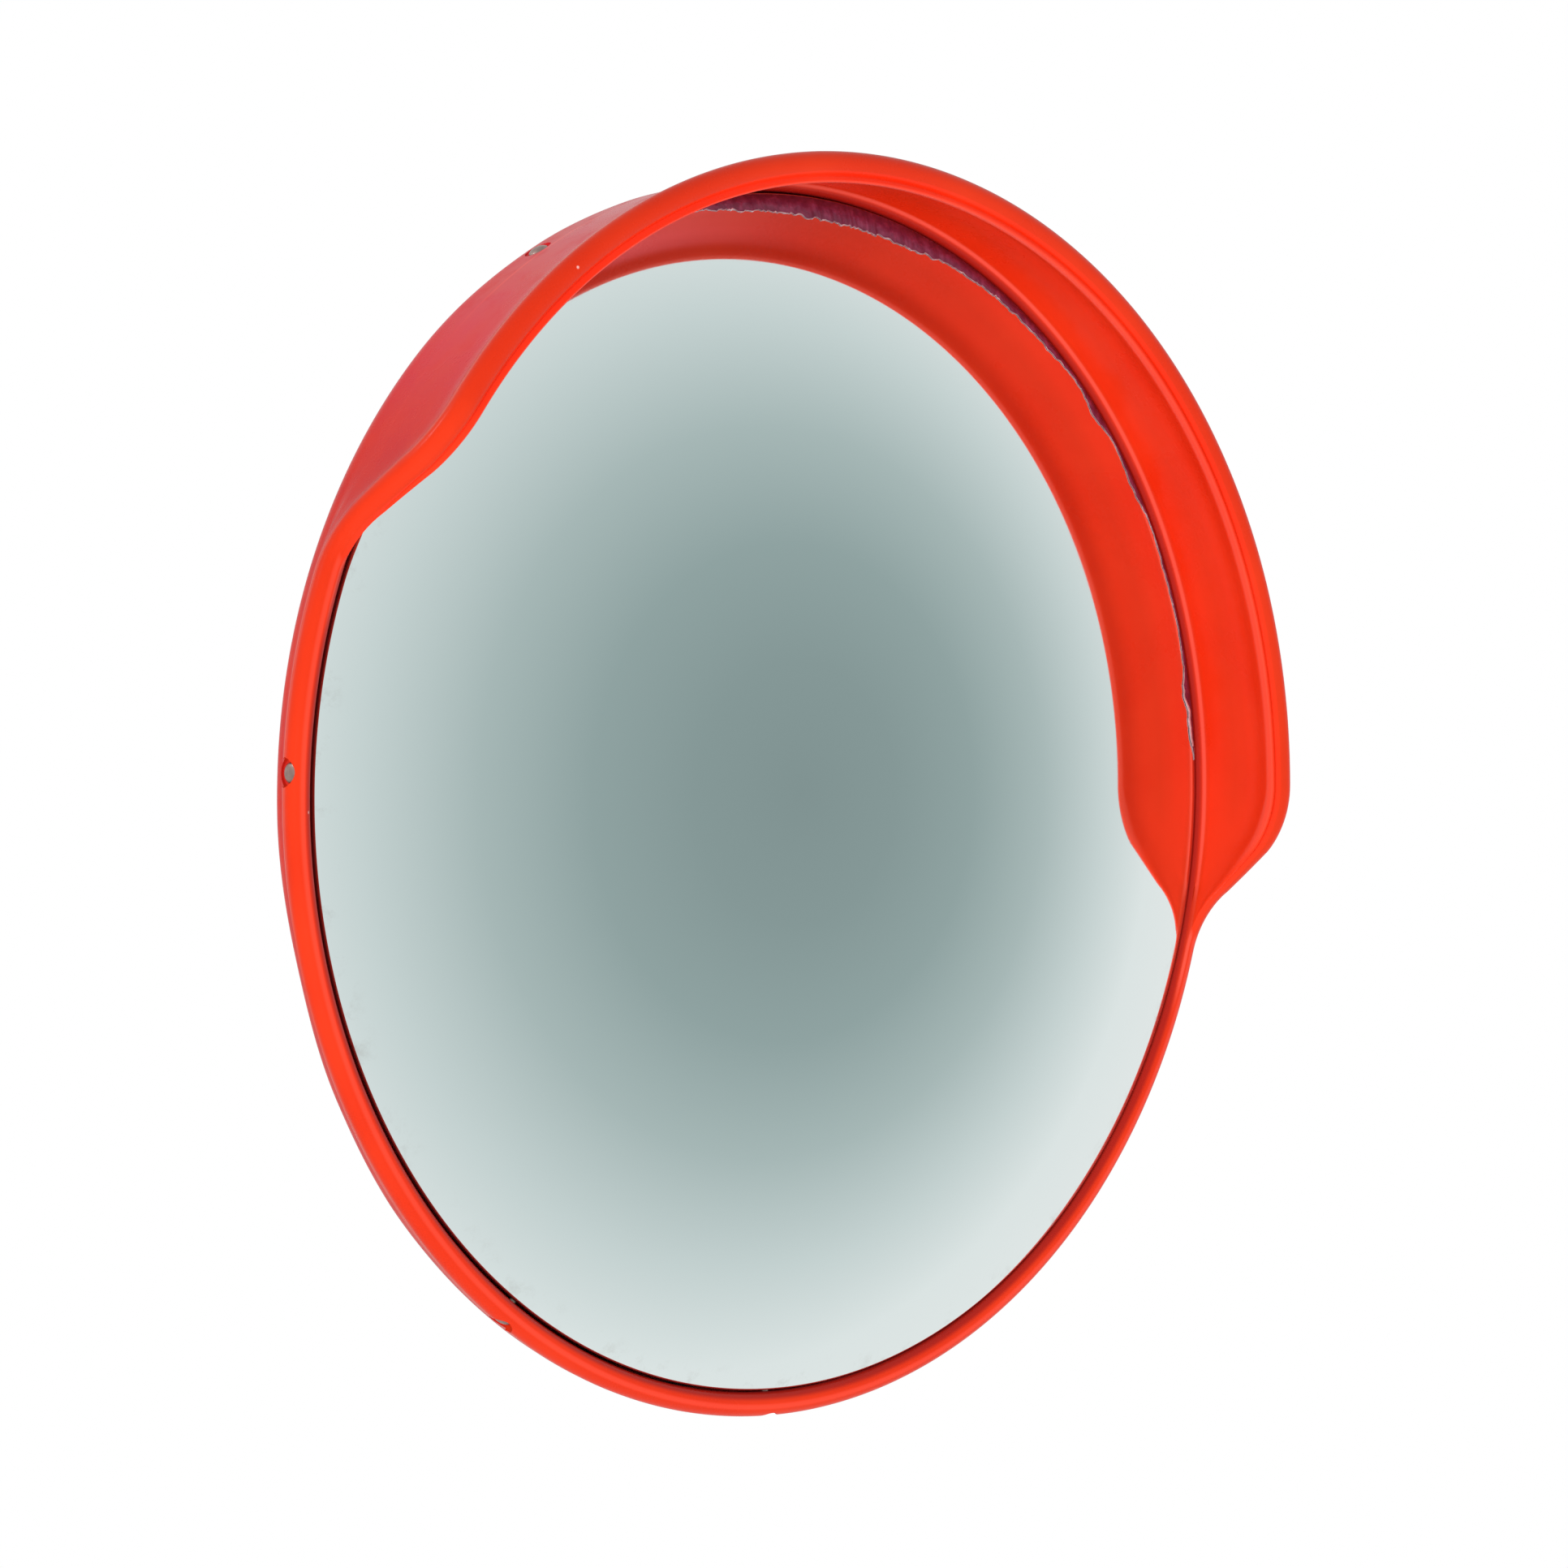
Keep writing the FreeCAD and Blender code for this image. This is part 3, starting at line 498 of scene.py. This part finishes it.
def mirrorFace():
    look = Finish("mirrorFace", Metallic=1.0, Roughness=0.05)
    where = look.headPlace()
    across, up = (look.axis(where, name) for name in "XY")
    # painted reflection: the tone darkens towards shadeCentre and pales out to shadeReach, standing in for what
    # the mirror reflects
    centre = lens["shadeCentre"]
    along, over = across - centre[0] * mm, up - centre[1] * mm
    distance = (along * along + over * over) ** 0.5 / lens["shadeReach"]
    wave = look.noise(2.2, 2.0) * 0.02 - 0.01
    shade = look.node("ValToRGB", {"stops": lens["shade"]}, Fac=distance + wave)
    haze = look.noise(14.0, 5.0, roughness=0.6).between(0.45, 0.8)
    edge = look.node("VectorMath", {"operation": "LENGTH"}, "Value", Vector=where).between(0.285, 0.302)
    dirt = look.noise(70.0, 6.0, roughness=0.7).between(0.5, 0.75) * edge
    shade = look.mix(dirt * 0.25, shade, (0.30, 0.24, 0.20))
    return look.set(Base_Color=shade, Roughness=0.035 + 0.03 * haze + 0.15 * dirt)


def buildLens():
    section = lensSection()
    points, faces = turned(lambda angle: section, lens["around"])
    faces = [face[::-1] for face in faces]
    made = meshObject("convex_mirror_face", points, faces, mirrorFace())
    softShade(made, 50)
    finished(made, "mirror_lens", "mirror_head")
    print("lens", len(made.data.vertices), "points")


# what is left of the protective film along the lens edge; widths go by angle
film = {
    "edge": 299.3, "lift": 0.25, "thick": 0.12, "start": 21, "span": 100, "step": 0.2,
    "widths": (
        (121, 5.0), (113, 8.5), (104, 11.0), (93, 11.5), (84, 7.5), (78, 6.0), (70, 5.2), (64, 2.4),
        (60, 6.5), (56, 2.0), (51, 5.0), (46, 1.2), (40, 2.6), (35, 2.2), (31, 3.6), (28, 9.5), (26, 5.5),
        (24, 6.0), (21, 1.0)),
}


def filmWidth(angle):
    stops = film["widths"]
    for (high, atHigh), (low, atLow) in zip(stops, stops[1:]):
        if low <= angle <= high:
            return atLow + (atHigh - atLow) * smoothStep(angle, low, high)
    return 0.0


def filmLook(name, colour, alpha):
    look = Finish(name, Roughness=0.45, Alpha=alpha)
    crease = look.noise(180.0, 5.0, roughness=0.7).between(0.35, 0.75)
    tone = look.mix(crease, colour, tuple(min(1.0, part * 1.9 + 0.02) for part in colour))
    return look.set(Base_Color=tone, Normal=look.bump(crease, 0.5, 0.0008))


def filmStrip(name, material, inner, outer):
    # a thin closed strip on the dome between two radii that change with the angle
    angles = [film["start"] + film["step"] * i for i in range(int(film["span"] / film["step"]) + 1)]
    points = []
    for angle in angles:
        turn = math.radians(angle)
        for radius, lift in ((outer(angle), 0), (inner(angle), 0), (inner(angle), 1), (outer(angle), 1)):
            high = domeHeight(radius) + film["lift"] + film["thick"] * lift
            points.append((radius * math.cos(turn), radius * math.sin(turn), high))
    faces = [(0, 1, 2, 3), tuple(len(points) - k for k in (1, 2, 3, 4))]
    for row in range(len(angles) - 1):
        for k in range(4):
            low, high = row * 4, row * 4 + 4
            faces.append((low + k, high + k, high + (k + 1) % 4, low + (k + 1) % 4))
    made = meshObject(name, points, faces, material)
    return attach(made, "mirror_head")


def buildFilm():
    def ragged(angle, seed, size):
        coarse = noise.noise(Vector((angle * 0.9, seed, 0)))
        return size * (coarse + 0.6 * noise.noise(Vector((angle * 3.3, seed + 5, 0))))

    def tear(angle):
        width = filmWidth(angle)
        return film["edge"] - max(0.35, width + ragged(angle, 3.0, 0.5 + 0.13 * width))

    def fringe(angle):
        loose = 3.4 * (1 - smoothStep(angle, 25, 32))
        return tear(angle) + 0.25 + 1.1 * max(0.0, ragged(angle, 9.0, 1.0)) + loose

    filmStrip("film_remnant", filmLook("filmRemnant", (0.150, 0.012, 0.045), 0.82),
              lambda angle: min(tear(angle) + 0.2, film["edge"] - 0.2), lambda angle: film["edge"])
    filmStrip("film_torn_edge", filmLook("filmTornEdge", (0.55, 0.44, 0.47), 0.9),
              tear, lambda angle: min(film["edge"] - 0.05, fringe(angle)))
    print("film")


# the rim screws, with their cross recess
screw = {
    "head": 5.2, "high": 2.7, "shank": 2.35, "long": 22.0,
    "slot": 1.15, "slotDeep": 1.7, "slotReach": 2.7, "twist": 20,
}


def zincLook(name, colour=(0.60, 0.60, 0.59), rough=0.34):
    look = Finish(name, Metallic=1.0)
    grain = look.noise(160.0, 5.0, roughness=0.7).between(0.3, 0.75)
    stain = look.noise(22.0, 4.0).between(0.45, 0.75)
    tone = look.mix(grain, colour, tuple(part * 0.72 for part in colour))
    tone = look.mix(stain * 0.5, tone, (0.42, 0.36, 0.28))
    return look.set(Base_Color=tone, Roughness=rough + 0.18 * grain + 0.12 * stain,
                    Normal=look.bump(grain, 0.12, 0.0004))


def buildScrews():
    height, wide = screw["high"], screw["head"]
    profile = [(0, -screw["long"]), (0.9, -screw["long"] + 0.6), (screw["shank"], -screw["long"] + 4)]
    profile += [(screw["shank"], -0.2), (screw["shank"] + 0.3, 0.0), (wide - 0.2, 0.05), (wide, 0.35)]
    profile += [(wide * math.cos(math.radians(a)), 0.5 + (height - 0.5) * math.sin(math.radians(a)))
                for a in range(0, 90, 9)]
    profile += [(0, height)]
    pieces = [lathe(profile, 48, screwSeat(angle)) for angle in screwAngles]
    # the screws' dark reddish tone is painted shade, standing in for the shade in their recesses
    made = joinMeshes("pan_head_screws", pieces, zincLook("screwZinc", (0.42, 0.29, 0.26)))
    cross = []
    half, wing = screw["slot"] / 2, screw["slotReach"]
    for angle in screwAngles:
        for twist in (screw["twist"], screw["twist"] + 90):
            lay = screwSeat(angle) @ Matrix.Rotation(math.radians(twist), 4, "Z")
            low, top = height - screw["slotDeep"], height + 2
            ends = [(-wing, -half, top), (wing, -half, top), (wing, half, top), (-wing, half, top),
                    (-wing * 0.5, -half * 0.8, low), (wing * 0.5, -half * 0.8, low),
                    (wing * 0.5, half * 0.8, low), (-wing * 0.5, half * 0.8, low)]
            sides = [(0, 1, 2, 3), (7, 6, 5, 4), (0, 4, 5, 1), (1, 5, 6, 2), (2, 6, 7, 3), (3, 7, 4, 0)]
            cross.append(([lay @ Vector(end) for end in ends], [side[::-1] for side in sides]))
    for part in (cross[0::2], cross[1::2]):
        carve(made, joinMeshes("slots", part, made.data.materials[0]))
    softShade(made, 40)
    finished(made, "rim_screws", "mirror_head")
    print("screws")


# steel, rubber and nylon, carried over from the frame; easing is the width of each softened edge
easing = {"galvanised_steel": 0.7, "bolt_steel": 0.25, "clamp_rubber": 0.3, "foam_rubber": 0.3, "nylon": 0.2}


def galvanised():
    look = Finish("galvanised", Metallic=1.0)
    cells = look.node("TexVoronoi", {"feature": "F1"}, "Color", Vector=look.place(), Scale=95.0)
    flake = look.node("SeparateColor", output="Red", Color=cells)
    cloud = look.noise(18.0, 5.0, roughness=0.65).between(0.3, 0.75)
    tone = look.mix(flake, (0.43, 0.45, 0.46), (0.60, 0.62, 0.63))
    tone = look.mix(cloud * 0.45, tone, (0.66, 0.67, 0.66))
    return look.set(Base_Color=tone, Roughness=0.36 + 0.16 * flake + 0.14 * cloud,
                    Normal=look.bump(flake + cloud, 0.10, 0.0004))


def rubber(name, colour):
    look = Finish(name, Roughness=0.8, Specular_IOR_Level=0.3)
    grain = look.noise(520.0, 4.0)
    bloomAndSheen = look.noise(24.0, 4.0).between(0.45, 0.8)
    tone = look.mix(bloomAndSheen * 0.5, colour, tuple(part * 1.8 + 0.01 for part in colour))
    return look.set(Base_Color=tone, Roughness=0.70 + 0.18 * grain, Normal=look.bump(grain, 0.25, 0.0005))


def nylon():
    look = Finish("nylon", Roughness=0.42, Subsurface_Weight=0.15, Subsurface_Scale=0.003)
    cloud = look.noise(60.0, 4.0).between(0.3, 0.7)
    return look.set(Base_Color=look.mix(cloud, (0.80, 0.78, 0.71), (0.70, 0.67, 0.58)),
                    Roughness=0.38 + 0.14 * cloud)


def eased(node, body, material, width):
    # the node's own form with eased edges, so that light catches them
    mesh = nodes[node].data.copy()
    form = bmesh.new()
    form.from_mesh(mesh)
    bmesh.ops.remove_doubles(form, verts=form.verts, dist=2e-6)
    bmesh.ops.dissolve_limit(form, angle_limit=math.radians(0.6), verts=form.verts, edges=form.edges,
                             delimit={"NORMAL"})
    form.to_mesh(mesh)
    form.free()
    mesh.materials.clear()
    mesh.materials.append(material)
    made = bpy.data.objects.new(node + "_eased", mesh)
    bpy.context.scene.collection.objects.link(made)
    bevel = made.modifiers.new("ease", "BEVEL")
    bevel.width = width * mm
    bevel.segments = 2
    bevel.limit_method = "ANGLE"
    bevel.angle_limit = math.radians(38)
    bevel.use_clamp_overlap = True
    applied(made)
    softShade(made, 40)
    return finished(made, node, body)


def buildHardware():
    looks = {
        "bolt_steel": zincLook("boltZinc", (0.66, 0.66, 0.64), 0.28),
        "galvanised_steel": galvanised(),
        "clamp_rubber": rubber("clampRubber", (0.014, 0.014, 0.015)),
        "foam_rubber": rubber("foamRubber", (0.020, 0.019, 0.019)),
        "nylon": nylon(),
    }
    record = frame["record"]
    bodyOf = {node: body for body, members in record["behaviour"]["bodies"].items() for node in members}
    for part in record["subparts"]:
        node, slot = part["node"], part["material_slot"]
        if slot in looks:
            eased(node, bodyOf[node], looks[slot], easing[slot])
    print("hardware")


# floor, light and camera; sky strengths are for light, reflections and direct sight
studio = {
    "floor": -2.2, "floorReach": 30.0, "floorSides": 96,
    "distance": 3.0, "awayFrom": (-0.651, -0.631, -0.423), "lensMm": 137.2, "shift": (-0.0003, 0.0053),
    "sky": 0.52, "mirroredSky": 0.80, "seenSky": 1.0,
    # name, place, size, power, and whether it shows in reflections
    "lamps": (
        ("keyPanel", (-2.7, -1.4, -1.2), 1.0, 50.0, False),
        ("frontPanel", (0.2, -2.2, -1.9), 1.2, 17.0, False),
        ("sidePanel", (2.8, -1.6, 0.6), 1.2, 22.0, False),
        ("backPanel", (0.9, 2.6, 1.0), 1.4, 24.0, False),
        ("rimPanel", (-2.2, 0.5, 1.3), 0.5, 8.0, True),
    ),
}


def buildFloor():
    look = Finish("paleFloor", Roughness=0.9, Emission_Color=(1.0, 1.0, 0.99), Emission_Strength=0.26)
    cloud = look.noise(0.8, 3.0)
    material = look.set(Base_Color=look.mix(cloud, (0.86, 0.86, 0.85), (0.90, 0.90, 0.89)))
    count, reach = studio["floorSides"], studio["floorReach"] / mm
    points = [(0, 0, 0)] + [(x, y, 0) for x, y in arc((0, 0), reach, 0, 360, count + 1)[:-1]]
    faces = [(0, 1 + i, 1 + (i + 1) % count) for i in range(count)]
    floor = meshObject("floor", points, faces, material, Matrix.Translation((0, 0, studio["floor"])))
    floor.visible_glossy = False


def buildLight():
    world = bpy.data.worlds.new("studio")
    bpy.context.scene.world = world
    world.use_nodes = True
    graph = Graph(world.node_tree)
    white = (1.0, 1.0, 1.0)
    sky = graph.tree.nodes["Background"]
    graph.feed(sky.inputs["Color"], white)
    graph.feed(sky.inputs["Strength"], studio["sky"])
    last = Wire(graph, sky.outputs[0])
    for ray, strength in (("Is Glossy Ray", studio["mirroredSky"]), ("Is Camera Ray", studio["seenSky"])):
        chosen = graph.node("LightPath", output=ray)
        other = graph.node("Background", Color=white, Strength=strength)
        last = graph.node("MixShader", sockets={0: chosen, 1: last, 2: other})
    graph.feed(graph.tree.nodes["World Output"].inputs["Surface"], last)
    for name, place, size, power, mirrored in studio["lamps"]:
        lamp = bpy.data.lights.new(name, "AREA")
        lamp.shape = "DISK"
        lamp.size = size
        lamp.energy = power
        made = bpy.data.objects.new(name, lamp)
        bpy.context.scene.collection.objects.link(made)
        aim = headMatrix.translation - Vector(place)
        made.visible_glossy = mirrored
        made.matrix_world = Matrix.Translation(place) @ aim.to_track_quat("-Z", "Y").to_matrix().to_4x4()
    bpy.context.scene.view_settings.view_transform = "Standard"


def buildCamera():
    lensCentre = headMatrix.translation
    away = Vector(studio["awayFrom"]).normalized()
    camera = bpy.data.cameras.new("camera")
    camera.sensor_width = 36.0
    camera.lens = studio["lensMm"]
    camera.shift_x, camera.shift_y = studio["shift"]
    made = bpy.data.objects.new("camera", camera)
    bpy.context.scene.collection.objects.link(made)
    aim = (-away).to_track_quat("-Z", "Y").to_matrix().to_4x4()
    made.matrix_world = Matrix.Translation(lensCentre + away * studio["distance"]) @ aim
    bpy.context.scene.camera = made


buildShell()
buildLens()
buildFilm()
buildScrews()
buildHardware()
buildFloor()
buildLight()
buildCamera()
print("studio")
